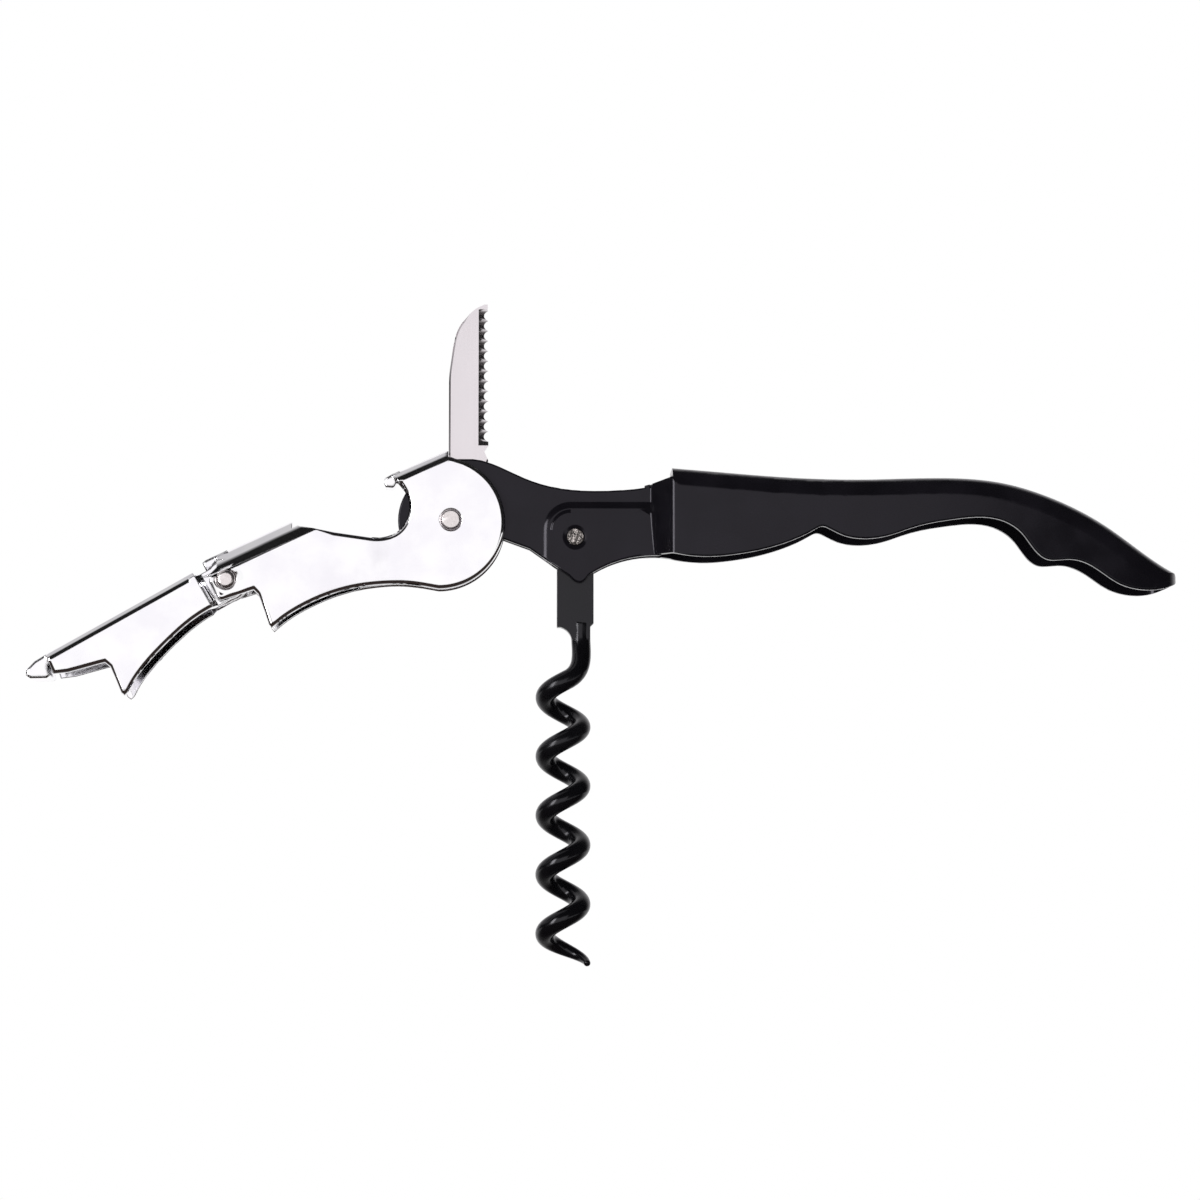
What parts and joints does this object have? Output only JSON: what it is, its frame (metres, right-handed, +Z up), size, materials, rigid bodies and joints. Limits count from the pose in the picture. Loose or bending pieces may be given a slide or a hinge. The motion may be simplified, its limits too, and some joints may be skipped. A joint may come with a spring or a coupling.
{
  "type": "folding corkscrew",
  "caption": "Folding waiter's corkscrew with a stepped, jointed chrome lever, a black channel handle, a serrated foil blade and a black coated worm, opened for use.",
  "frame": {"origin": "the point of the worm", "axes": "+Z up along the worm's axis, from its point to the handle; +X along the grip, away from the lever; +Y across the tool's thickness, away from the side on which the blade is ground"},
  "size_m": [0.1775, 0.012, 0.1027],
  "materials": {
    "black_paint": "satin black enamel on steel sheet",
    "black_coating": "semi-gloss black non-stick coating on steel wire",
    "chrome_plate": "bright plate on steel sheet",
    "blade_steel": "ground stainless steel",
    "rivet_steel": "plain steel"
  },
  "bodies": {
    "grip": {"handle": "black_paint", "main_rivet": "rivet_steel", "worm_rivet": "rivet_steel"},
    "foil_blade": {"blade": "blade_steel"},
    "screw": {"worm": "black_coating"},
    "arm": {"lever_arm": "chrome_plate", "hinge_rivet": "rivet_steel", "hinge_spacer": "rivet_steel"},
    "foot": {"lever_foot": "chrome_plate"}
  },
  "joints": [
    {"name": "lever_fold", "type": "hinge", "parent": "grip", "child": "arm", "pos_m": [-0.0174, 0, 0.0687], "axis": [0, -1, 0], "range_deg": [0, 138]},
    {"name": "foot_fold", "type": "hinge", "parent": "arm", "child": "foot", "pos_m": [-0.0519, 0, 0.0592], "axis": [0, -1, 0], "range_deg": [0, 23]},
    {"name": "blade_fold", "type": "hinge", "parent": "grip", "child": "foil_blade", "pos_m": [-0.0174, 0, 0.0687], "axis": [0, 1, 0], "range_deg": [0, 72]},
    {"name": "worm_fold", "type": "hinge", "parent": "grip", "child": "screw", "pos_m": [0.00186, 0, 0.0661], "axis": [0, -1, 0], "range_deg": [0, 94]}
  ],
  "couplings": [
    {"joint": "worm_fold", "follows": "lever_fold", "ratio": 0.681}
  ]
}
